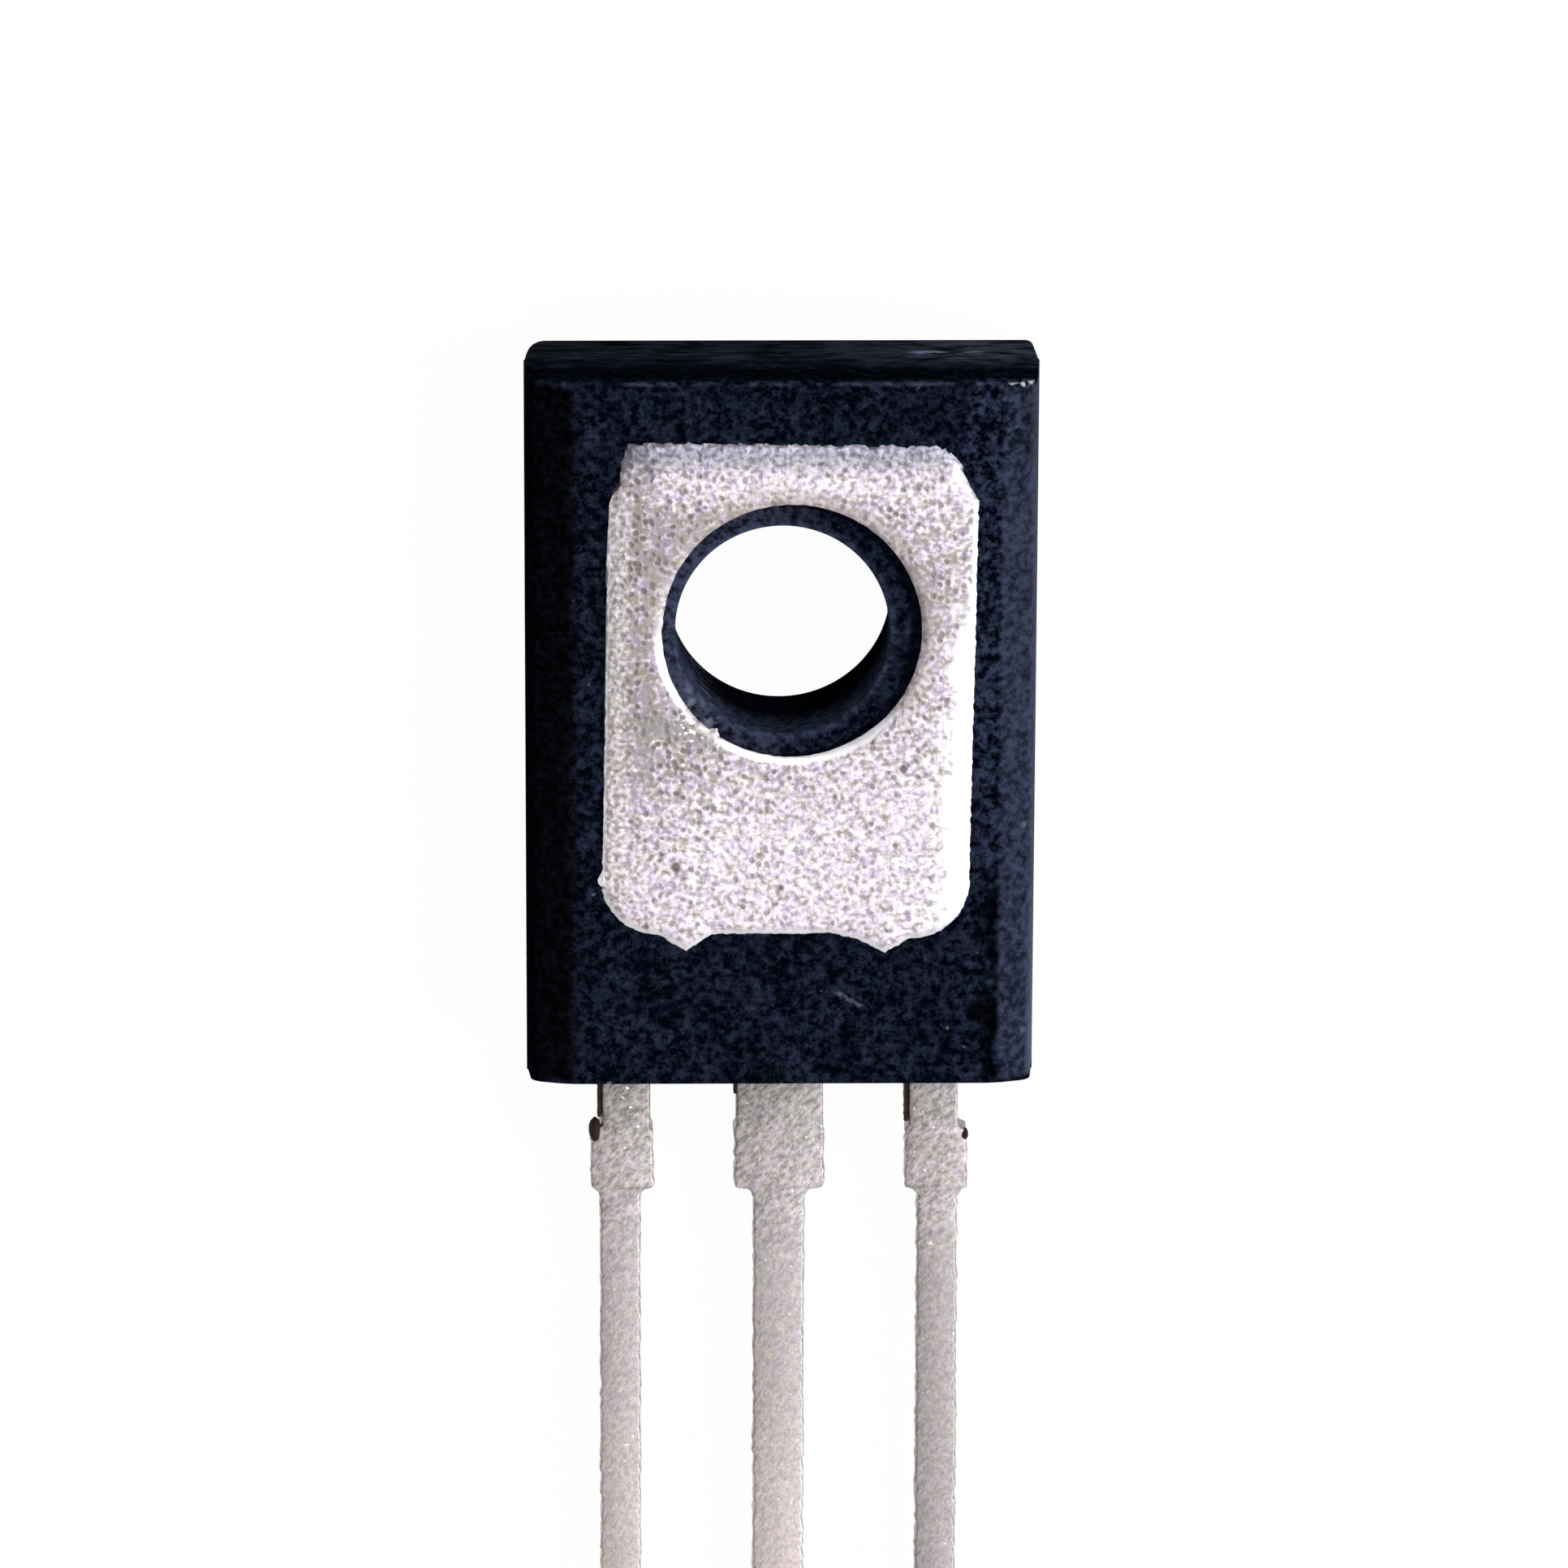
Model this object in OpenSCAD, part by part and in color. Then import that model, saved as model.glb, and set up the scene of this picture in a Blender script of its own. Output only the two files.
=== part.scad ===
// Silicon controlled rectifier in a flat moulded package with a screw hole and three leads in a row.
// Millimetres. The origin is on the screw hole's axis in the metal face, +Z points out of that face,
// +Y points to the plain end and the leads run along -Y. The part lies on its plain face.

/* [Moulded body] */
// Width across the parting line
body_w = 7.62; // [7:0.01:8.6]
// Length between the end walls, at the parting line
body_l = 10.95; // [10.4:0.01:12.5]
// Thickness between the metal face and the plain face
body_t = 2.54; // [2.4:0.01:3.2]
// Depth of the parting line below the metal face
parting_depth = 1.15; // [1:0.01:1.3]
// Draft of the long side walls on the metal half, in degrees
side_draft = 4; // [1:0.5:7]
// Draft of the end walls on the metal half, in degrees
end_draft = 4.5; // [1:0.5:6]
// Draft of the long side walls on the plain half, in degrees
plain_side_draft = 1.5; // [0.5:0.5:5]
// Draft of the end walls on the plain half, in degrees
plain_end_draft = 0.5; // [0.5:0.5:5]
// Width of the long bevels beside the metal face
bevel_w = 0.55; // [0.3:0.01:0.8]
// Depth of the long bevels
bevel_depth = 0.29; // [0.15:0.01:0.5]
// Edge radius round the plain face
plain_edge_r = 0.12; // [0.08:0.01:0.4]
// Edge radius at the two ends of the metal face
metal_edge_r = 0.08; // [0.04:0.01:0.2]
// Radius of the four upright corners
corner_r = 0.12; // [0.08:0.01:0.4]

/* [Screw hole] */
// Distance from the hole's axis to the plain end, at the parting line
hole_to_end = 3.85; // [3.6:0.01:4.6]
// Diameter of the hole's straight half, on the metal side
bore_d = 3.17; // [2.8:0.01:3.4]
// Draft of the hole's other half, in degrees
bore_draft = 3.5; // [1:0.5:6]

/* [Tab] */
// Thickness of the stamped sheet
sheet_t = 0.5; // [0.4:0.01:0.6]
// Width of the tab
tab_w = 5.5; // [5:0.01:6]
// Reach of the tab from the hole's axis towards the plain end
tab_up = 2.84; // [2.5:0.01:3.3]
// Reach of the tab from the hole's axis towards the leads, at its ear tips
tab_down = 4.95; // [4.7:0.01:5.2]
// Diameter of the tab's hole, which the resin lines
tab_hole_d = 3.84; // [3.6:0.01:4.2]
// Width of the clipped corners at the plain end
clip_w = 0.46; // [0.2:0.01:0.8]
// Length of the clipped corners at the plain end
clip_l = 0.8; // [0.3:0.01:1]
// Radius of the corners at the lead end
tab_corner_r = 0.85; // [0.4:0.01:1]
// Distance of the ear tips from the tab's middle line
ear_x = 1.47; // [1.3:0.01:1.6]
// Fall of the lower edge from the corners to the ear tips
ear_fall = 0.23; // [0.1:0.01:0.4]
// Sideways offset of the tab in the moulding
tab_offset = 0.12; // [-0.2:0.01:0.2]
// Skew of the tab in the moulding, in degrees
tab_skew = -1; // [-2:0.1:2]

/* [Neck] */
// Width of the neck that steps down from the tab
neck_w = 2.3; // [1.8:0.01:2.5]
// Gap between the ear tips and the bend line, along the part
bend_rise = 0.28; // [0.1:0.01:0.4]
// Angle of the step, in degrees
step_angle = 50; // [40:1:60]
// Flat length of the neck past the step
neck_flat = 0.35; // [0.2:0.01:0.6]

/* [Leads] */
// Distance between the middle lines of neighbouring leads
pitch = 2.39; // [2.3:0.01:2.6]
// Length of the leads outside the body
lead_l = 15.5; // [10:0.1:20]
// Width of the outer leads
lead_w = 0.6; // [0.5:0.01:0.7]
// Width of the middle lead
mid_lead_w = 0.76; // [0.6:0.01:0.9]
// Length of the broad root, from the body to the step in width
root_l = 1.89; // [1.4:0.01:2.5]
// Distance from the body to the dam-bar stubs
dam_start = 0.91; // [0.6:0.01:1.2]
// Width of the middle lead's root
mid_root_w = 1.29; // [1.1:0.01:1.4]
// Width of the middle lead across its stubs
mid_dam_w = 1.35; // [1.2:0.01:1.5]
// Inward reach of an outer root from the lead's middle line
root_in = 0.45; // [0.35:0.01:0.6]
// Outward reach of an outer root from the lead's middle line
root_out = 0.29; // [0.25:0.01:0.4]
// Inward reach of an outer stub from the lead's middle line
dam_in = 0.49; // [0.4:0.01:0.65]
// Outward reach of an outer stub from the lead's middle line
dam_out = 0.44; // [0.35:0.01:0.6]
// Length of the slanted corners where the width steps
step_l = 0.09; // [0.04:0.01:0.2]

/* [Posts inside the body] */
// Distance from the end wall to a post
post_start = 0.95; // [0.6:0.01:1.2]
// Length of a post
post_l = 1.2; // [0.8:0.01:1.5]
// Inward reach of a post from the lead's middle line
post_in = 0.75; // [0.6:0.01:0.8]
// Outward reach of a post from the lead's middle line
post_out = 0.55; // [0.4:0.01:0.7]

/* [Chip] */
// Side of the square chip
die_w = 1.8; // [1.2:0.01:1.9]
// Thickness of the chip
die_t = 0.25; // [0.15:0.01:0.35]
// Gap between the tab's hole and the chip
die_gap = 0.35; // [0.2:0.01:0.5]
// Thickness of the solder under the chip
solder_t = 0.05; // [0.03:0.005:0.08]
// Rim of solder that shows round the chip
solder_rim = 0.06; // [0.02:0.01:0.1]

/* [Bond wires] */
// Diameter of the cathode wire
cathode_wire_d = 0.3; // [0.2:0.01:0.38]
// Diameter of the gate wire
gate_wire_d = 0.125; // [0.1:0.005:0.2]
// Sag of a wire's loop below the straight line between its ends
loop_sag = 0.58; // [0.3:0.01:0.65]
// Place of the cathode wire on the chip, right of its middle
cathode_pad_x = 0.35; // [0.2:0.01:0.5]
// Place of the gate wire on the chip, left of its middle
gate_pad_x = 0.55; // [0.4:0.01:0.65]
// Length of a flattened wire foot, in wire diameters
foot_l_ratio = 1.6; // [1.2:0.1:2]
// Width of a flattened wire foot, in wire diameters
foot_w_ratio = 1.2; // [1.1:0.05:1.5]

/* [Flash] */
// Width of the resin flash beside the leads
flash_w = 0.08; // [0.04:0.01:0.12]
// Length of the flash beside the outer leads
flash_l = 0.81; // [0.4:0.01:0.9]
// Length of the flash beside the middle lead
mid_flash_l = 0.43; // [0.3:0.01:0.9]

/* [Hidden] */
$fn = 96;

cut = 1;                                    // how far a cutter runs past the face that it opens
arc_steps = 6;                              // straight stretches in a rounded edge

// the moulding's own planes
end_y = hole_to_end;                        // plain end, at the parting line
wall_y = hole_to_end - body_l;              // lead end, at the parting line
side_x = body_w / 2;
plain_depth = body_t - parting_depth;       // from the parting line to the plain face
bevel_x = side_x - (parting_depth - bevel_depth) * tan(side_draft);
face_x = bevel_x - bevel_w;                 // half width of the metal face
plain_x = side_x - plain_depth * tan(plain_side_draft);
metal_inset = parting_depth * tan(end_draft);
plain_inset = plain_depth * tan(plain_end_draft);

// the stamped sheet's levels: the leads' upper side lies in the parting line
lead_top = -parting_depth;
lead_bottom = lead_top - sheet_t;

// the neck's bend line, its step and its end
bend_y = -(tab_down - bend_rise);
step_run = parting_depth / tan(step_angle);
mitre = sheet_t * tan(step_angle / 2);      // keeps the sheet's thickness through the bends
neck_end_y = bend_y - step_run - neck_flat;

// the chip and the wires' ends
die_y = -(tab_hole_d / 2 + die_gap + die_w / 2);
solder_z = -sheet_t - solder_t;
die_z = solder_z - die_t;
post_x = pitch + (post_out - post_in) / 2;
post_y = wall_y + post_start + post_l / 2;

// Points of a circular arc, from one angle to another
function arc(centre, r, from, to) =
    [for (i = [0 : arc_steps])
        let (a = from + (to - from) * i / arc_steps)
        centre + r * [cos(a), sin(a)]];

function mirrored(points) = [for (i = [len(points) - 1 : -1 : 0]) [-points[i][0], points[i][1]]];

// Section of the moulding across its length: x to the side, y up through the thickness
function side_section() =
    let (half = concat(
        arc([plain_x - plain_edge_r, -body_t + plain_edge_r], plain_edge_r, -90, -plain_side_draft),
        [[side_x, -parting_depth], [bevel_x, -bevel_depth], [face_x, 0]]))
    concat(half, mirrored(half));

// Section of the moulding along its length: x along the part, y up through the thickness
function end_section() =
    let (
        plain_end = end_y - plain_inset,
        metal_end = end_y - metal_inset,
        plain_lead = wall_y + plain_inset,
        metal_lead = wall_y + metal_inset)
    concat(
        arc([plain_end - plain_edge_r, -body_t + plain_edge_r], plain_edge_r, -90, -plain_end_draft),
        [[end_y, -parting_depth]],
        arc([metal_end - metal_edge_r, -metal_edge_r], metal_edge_r, end_draft, 90),
        arc([metal_lead + metal_edge_r, -metal_edge_r], metal_edge_r, 90, 180 - end_draft),
        [[wall_y, -parting_depth]],
        arc([plain_lead + plain_edge_r, -body_t + plain_edge_r], plain_edge_r, 180 + plain_end_draft, 270));

function plan_outline() =
    let (x = side_x - corner_r, top = end_y - corner_r, low = wall_y + corner_r)
    concat(
        arc([x, top], corner_r, 0, 90),
        arc([-x, top], corner_r, 90, 180),
        arc([-x, low], corner_r, 180, 270),
        arc([x, low], corner_r, 270, 360));

// Turn a section in x and y so that it runs along the part's Y axis
module along_y(from, to) {
    translate([0, to, 0]) rotate([90, 0, 0]) linear_extrude(to - from) children();
}

// Turn a section in x and y so that its x runs along Y and it is swept along X
module along_x(half) {
    rotate([90, 0, 90]) translate([0, 0, -half]) linear_extrude(2 * half) children();
}

module outer_form() {
    intersection() {
        along_y(wall_y - cut, end_y + cut) polygon(side_section());
        along_x(side_x + cut) polygon(end_section());
        translate([0, 0, -body_t - cut]) linear_extrude(body_t + 2 * cut) polygon(plan_outline());
    }
}

module screw_hole() {
    r = bore_d / 2;
    slope = tan(bore_draft);
    rotate_extrude() polygon([
        [0, cut], [r, cut], [r, -parting_depth],
        [r + (plain_depth + cut) * slope, -body_t - cut], [0, -body_t - cut]]);
}

// Outline of the tab about its hole, with clipped corners, round corners and two ears
function tab_outline() =
    let (
        x = tab_w / 2,
        corner_y = -(tab_down - ear_fall) + tab_corner_r,
        half = concat(
            [[neck_w / 2, bend_y], [ear_x, -tab_down]],
            arc([x - tab_corner_r, corner_y], tab_corner_r, -90, 0),
            [[x, tab_up - clip_l], [x - clip_w, tab_up]]))
    concat(half, mirrored(half));

module tab(rise = 0) {
    translate([tab_offset, 0, -sheet_t]) rotate(tab_skew) difference() {
        linear_extrude(sheet_t + rise) polygon(tab_outline());
        translate([0, 0, -cut]) cylinder(d = tab_hole_d, h = sheet_t + rise + 2 * cut);
    }
}

// Edges of a lead outside the body, on one side: the root, the stub, the step and the narrow run
function lead_edge(root, stub, run) = [
    [root, wall_y - dam_start], [stub, wall_y - dam_start - step_l],
    [stub, wall_y - root_l], [run, wall_y - root_l - step_l], [run, wall_y - lead_l]];

// Plan of the neck and the middle lead
function mid_plan() =
    let (half = concat(
        [[neck_w / 2, bend_y + mitre], [neck_w / 2, neck_end_y], [mid_root_w / 2, neck_end_y - step_l]],
        lead_edge(mid_root_w / 2, mid_dam_w / 2, mid_lead_w / 2)))
    concat(half, mirrored(half));

// Section of the neck and the middle lead along the part, with the step between two levels
function mid_section() = [
    [bend_y + mitre, 0], [bend_y, 0], [bend_y - step_run, lead_top], [wall_y - lead_l - cut, lead_top],
    [wall_y - lead_l - cut, lead_bottom], [bend_y - step_run + mitre, lead_bottom],
    [bend_y + mitre, -sheet_t]];

module neck_and_lead() {
    intersection() {
        along_x(body_w) polygon(mid_section());
        translate([0, 0, -body_t]) linear_extrude(body_t + cut) polygon(mid_plan());
    }
}

// Plan of an outer lead about its middle line, with +x outward: the post, the root, the stub and the run
function outer_plan() =
    let (
        post_end = wall_y + post_start + post_l,
        post_foot = wall_y + post_start,
        outward = concat(
            [[post_out, post_end], [post_out, post_foot], [root_out, post_foot - step_l]],
            lead_edge(root_out, dam_out, lead_w / 2)),
        inward = concat(
            [[post_in, post_end], [post_in, post_foot], [root_in, post_foot - step_l]],
            lead_edge(root_in, dam_in, lead_w / 2)))
    concat(outward, mirrored(inward));

// side is 1 for the right lead and -1 for the left one
module outer_lead(side) {
    translate([side * pitch, 0, lead_bottom]) linear_extrude(sheet_t)
        mirror([side < 0 ? 1 : 0, 0]) polygon(outer_plan());
}

module centred_slab(w, t, z) {
    translate([-w / 2, die_y - w / 2, z]) cube([w, w, t]);
}

// A wire's middle line lies in an upright plane and hangs in a parabola between its two ends
function wire_point(a, b, t) = a + (b - a) * t - [0, 0, loop_sag * 4 * t * (1 - t)];

function wire_slope(a, b, t) = (b - a) - [0, 0, loop_sag * 4 * (1 - 2 * t)];

function unit(v) = v / norm(v);

function wire_ring(a, b, t, r, sides) =
    let (
        along = unit(wire_slope(a, b, t)),
        across = unit(cross(along, [0, 0, 1])),
        over = cross(along, across))
    [for (j = [0 : sides - 1])
        let (angle = 360 * (j + 0.5) / sides)
        wire_point(a, b, t) + r * (across * cos(angle) + over * sin(angle))];

module wire_loop(a, b, d) {
    sides = 8;
    rings = 14;
    points = [for (i = [0 : rings - 1]) each wire_ring(a, b, i / (rings - 1), d / 2, sides)];
    first = [for (j = [0 : sides - 1]) j];
    last = [for (j = [sides - 1 : -1 : 0]) (rings - 1) * sides + j];
    walls = [for (i = [0 : rings - 2], j = [0 : sides - 1])
        let (next = (j + 1) % sides)
        [i * sides + j, (i + 1) * sides + j, (i + 1) * sides + next, i * sides + next]];
    polyhedron(points, concat([first, last], walls), convexity = 4);
}

// A flattened foot under its seat, turned along the wire
module wire_foot(seat, heading, d) {
    translate(seat) rotate(heading)
        translate([-d * foot_l_ratio / 2, -d * foot_w_ratio / 2, -d / 2])
            cube([d * foot_l_ratio, d * foot_w_ratio, d / 2]);
}

// A wire from the chip's lower side to a post's lower side, with a foot at each end
module bond_wire(pad_x, side, d) {
    on_die = [side * pad_x, die_y, die_z];
    on_post = [side * post_x, post_y, lead_bottom];
    heading = atan2(on_post[1] - on_die[1], on_post[0] - on_die[0]);
    drop = [0, 0, -d / 2];
    wire_loop(on_die + drop, on_post + drop, d);
    wire_foot(on_die, heading, d);
    wire_foot(on_post, heading, d);
}

// Thin resin beside a lead, left of the given x
module flash(x, length) {
    root = metal_inset + plain_inset;       // reaches into the drafted end wall
    translate([x - flash_w, wall_y - length, lead_bottom])
        cube([flash_w, length + root, sheet_t]);
}

module moulded_body() {
    color("#171a20") {
        difference() {
            outer_form();
            screw_hole();
            tab(rise = cut);
            neck_and_lead();
            outer_lead(-1);
            outer_lead(1);
            centred_slab(die_w, die_t, die_z);
            centred_slab(die_w + 2 * solder_rim, solder_t, solder_z);
            bond_wire(cathode_pad_x, 1, cathode_wire_d);
            bond_wire(gate_pad_x, -1, gate_wire_d);
        }
        flash(-pitch - root_out, flash_l);
        flash(-mid_root_w / 2, mid_flash_l);
        flash(pitch - root_in, flash_l);
    }
}

module anode_frame() {
    color("#cdc7c3") {
        tab();
        neck_and_lead();
    }
}

module gate_lead() {
    color("#c6c0bb") outer_lead(-1);
}

module cathode_lead() {
    color("#c6c0bb") outer_lead(1);
}

module silicon_die() {
    color("#596172") centred_slab(die_w, die_t, die_z);
}

module die_solder() {
    color("#9c9c99") centred_slab(die_w + 2 * solder_rim, solder_t, solder_z);
}

module cathode_wire() {
    color("#dcdcda") bond_wire(cathode_pad_x, 1, cathode_wire_d);
}

module gate_wire() {
    color("#dcdcda") bond_wire(gate_pad_x, -1, gate_wire_d);
}

moulded_body();
anode_frame();
gate_lead();
cathode_lead();
silicon_die();
die_solder();
cathode_wire();
gate_wire();
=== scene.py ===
import math

import bpy
from mathutils import Matrix, Vector


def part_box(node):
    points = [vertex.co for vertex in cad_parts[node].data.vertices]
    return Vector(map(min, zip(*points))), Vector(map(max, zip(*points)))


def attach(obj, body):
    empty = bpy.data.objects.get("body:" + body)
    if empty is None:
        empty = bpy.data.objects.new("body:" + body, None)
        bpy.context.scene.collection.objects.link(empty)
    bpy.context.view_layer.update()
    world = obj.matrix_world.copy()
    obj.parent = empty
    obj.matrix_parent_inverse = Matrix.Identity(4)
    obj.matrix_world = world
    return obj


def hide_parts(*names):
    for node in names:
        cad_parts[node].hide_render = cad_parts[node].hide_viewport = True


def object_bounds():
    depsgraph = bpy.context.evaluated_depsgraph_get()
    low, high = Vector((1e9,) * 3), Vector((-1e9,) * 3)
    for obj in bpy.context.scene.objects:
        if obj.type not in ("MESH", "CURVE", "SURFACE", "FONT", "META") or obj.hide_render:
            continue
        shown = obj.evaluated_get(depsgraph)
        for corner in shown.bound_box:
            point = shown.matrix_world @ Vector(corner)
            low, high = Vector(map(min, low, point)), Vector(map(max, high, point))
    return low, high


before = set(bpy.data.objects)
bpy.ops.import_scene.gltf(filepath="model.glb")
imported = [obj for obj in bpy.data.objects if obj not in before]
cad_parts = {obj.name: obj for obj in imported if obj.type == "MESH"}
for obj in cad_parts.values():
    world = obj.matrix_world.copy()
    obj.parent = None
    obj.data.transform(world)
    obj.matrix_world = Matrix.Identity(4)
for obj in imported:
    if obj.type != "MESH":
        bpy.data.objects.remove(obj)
cadLow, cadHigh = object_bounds()
print("frame loaded:", sorted(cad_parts))

mm = 0.001  # pieces are shaped in millimetres and brought to metres when they are done
hair = 1e-4  # how close two millimetre values count as the same
rootBody = "root"


def boxMm(node):
    low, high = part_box(node)
    return low / mm, high / mm


bodyLow, bodyHigh = boxMm("moulded_body")
leadLow, leadHigh = boxMm("gate_lead")


# Modelling helpers

def objectMode():
    if bpy.context.object and bpy.context.object.mode != "OBJECT":
        bpy.ops.object.mode_set(mode="OBJECT")


def focus(piece):
    objectMode()
    bpy.ops.object.select_all(action="DESELECT")
    piece.select_set(True)
    bpy.context.view_layer.objects.active = piece
    return piece


def named(name):
    piece = bpy.context.object
    piece.name = name
    piece.data.name = name
    return piece


def addBlock(name, low, high):
    objectMode()
    bpy.ops.object.select_all(action="DESELECT")
    low, high = Vector(low), Vector(high)
    bpy.ops.mesh.primitive_cube_add(size=1, location=(low + high) / 2)
    bpy.context.object.scale = high - low
    bpy.ops.object.transform_apply(location=True, rotation=True, scale=True)
    return named(name)


def addSheet(name, low, high):
    objectMode()
    bpy.ops.object.select_all(action="DESELECT")
    low, high = Vector((*low, 0)), Vector((*high, 0))
    bpy.ops.mesh.primitive_plane_add(size=1, location=(low + high) / 2)
    bpy.context.object.scale = (high.x - low.x, high.y - low.y, 1)
    bpy.ops.object.transform_apply(location=True, rotation=True, scale=True)
    return named(name)


def addRod(name, radius, low, high, sides=128, centre=(0, 0)):
    objectMode()
    bpy.ops.object.select_all(action="DESELECT")
    bpy.ops.mesh.primitive_cylinder_add(
        vertices=sides, radius=radius, depth=high - low, location=(*centre, (low + high) / 2))
    bpy.ops.object.transform_apply(location=True, rotation=True, scale=True)
    return named(name)


def pick(piece, kind, test):
    # selects by place: a vertex by its point, an edge by its two points, a face by its middle and normal
    focus(piece)
    mesh = piece.data
    bpy.context.tool_settings.mesh_select_mode = (kind == "VERT", kind == "EDGE", kind == "FACE")
    for group in (mesh.vertices, mesh.edges, mesh.polygons):
        for item in group:
            item.select = False
    points = [v.co.copy() for v in mesh.vertices]
    if kind == "VERT":
        chosen = [v for v in mesh.vertices if test(v.co)]
    elif kind == "EDGE":
        chosen = [e for e in mesh.edges if test(points[e.vertices[0]], points[e.vertices[1]])]
    else:
        chosen = [f for f in mesh.polygons if test(f.center, f.normal)]
    for item in chosen:
        item.select = True
    bpy.ops.object.mode_set(mode="EDIT")
    return len(chosen)


def pickAll(piece):
    focus(piece)
    bpy.ops.object.mode_set(mode="EDIT")
    bpy.ops.mesh.select_all(action="SELECT")


def cutAt(piece, point, normal, clear=False):
    pickAll(piece)
    bpy.ops.mesh.bisect(plane_co=point, plane_no=normal, clear_outer=clear, use_fill=clear, threshold=1e-6)
    objectMode()


def near(value, target):
    return abs(value - target) < hair


def shift(piece, test, offset):
    if pick(piece, "VERT", test):
        bpy.ops.transform.translate(value=offset)
    objectMode()


def stretch(piece, test, factors, about=(0, 0, 0)):
    if pick(piece, "VERT", test):
        bpy.ops.transform.resize(value=factors, center_override=about)
    objectMode()


def roundEdges(piece, test, offset, segments):
    if pick(piece, "EDGE", test):
        bpy.ops.mesh.bevel(offset=offset, segments=segments, affect="EDGES", clamp_overlap=True)
    objectMode()


def roughen(piece, test, offset, seed):
    if pick(piece, "VERT", test):
        bpy.ops.transform.vertex_random(offset=offset, uniform=0, normal=0, seed=seed)
    objectMode()


def nudge(piece, place, offset, reach):
    # drags the outline near a place, with a soft reach
    there = Vector(place)
    closest = min((v.co.xy - there).length for v in piece.data.vertices)
    pick(piece, "VERT", lambda p: (p.xy - there).length < closest + hair)
    bpy.ops.transform.translate(value=(*offset, 0), use_proportional_edit=True,
                                proportional_edit_falloff="SMOOTH", proportional_size=reach)
    objectMode()


def wobble(piece, test, amount, size, axes="XY"):
    # cloudy unevenness on the chosen points, the same for points that lie close together
    group = piece.vertex_groups.new(name="uneven")
    pick(piece, "VERT", test)
    bpy.ops.object.vertex_group_assign()
    objectMode()
    for axis in axes:
        clouds = bpy.data.textures.new("clouds " + axis, "CLOUDS")
        clouds.noise_scale = size * (1.0 if axis == "X" else 0.93)
        clouds.noise_depth = 1
        useModifier(piece, "DISPLACE", texture=clouds, texture_coords="LOCAL", direction=axis,
                    strength=amount, mid_level=0.5, vertex_group=group.name)
    piece.vertex_groups.clear()


def shorten(piece, limit, test):
    # splits the chosen edges until none is longer than the limit
    def tooLong(a, b):
        return (a - b).length > limit and test(a, b)
    for _ in range(9):
        found = pick(piece, "EDGE", tooLong)
        if found:
            bpy.ops.mesh.subdivide(number_cuts=1)
        objectMode()
        if not found:
            return


def useModifier(piece, kind, **settings):
    focus(piece)
    modifier = piece.modifiers.new(kind.lower(), kind)
    for key, value in settings.items():
        setattr(modifier, key, value)
    bpy.ops.object.modifier_apply(modifier=modifier.name)


def carve(piece, cutter, operation="DIFFERENCE"):
    useModifier(piece, "BOOLEAN", operation=operation, object=cutter, solver="EXACT")
    bpy.data.objects.remove(cutter)


def mergeIn(piece, others):
    focus(piece)
    for other in others:
        other.select_set(True)
    bpy.context.view_layer.objects.active = piece
    bpy.ops.object.join()


def tidyMesh(piece, smoothAngle=40):
    pickAll(piece)
    bpy.ops.mesh.remove_doubles(threshold=1e-5)
    bpy.ops.mesh.normals_make_consistent(inside=False)
    objectMode()
    bpy.ops.object.shade_smooth_by_angle(angle=math.radians(smoothAngle))


def coat(piece, materials):
    # a first finish for the whole piece, then a finish and a test for each part of it
    piece.data.materials.clear()
    for index, (material, test) in enumerate(materials):
        piece.data.materials.append(material)
        pick(piece, "FACE", test)
        piece.active_material_index = index
        bpy.ops.object.material_slot_assign()
        objectMode()


def hand(piece, slot, *nodes):
    # brings a finished piece to metres, attaches it to its body and hides the nodes that it stands for
    pickAll(piece)
    bpy.ops.transform.resize(value=(mm, mm, mm), center_override=(0, 0, 0))
    objectMode()
    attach(piece, rootBody)
    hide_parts(*nodes)
    print("piece", piece.name, len(piece.data.polygons), "faces")


# Shader maths

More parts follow.
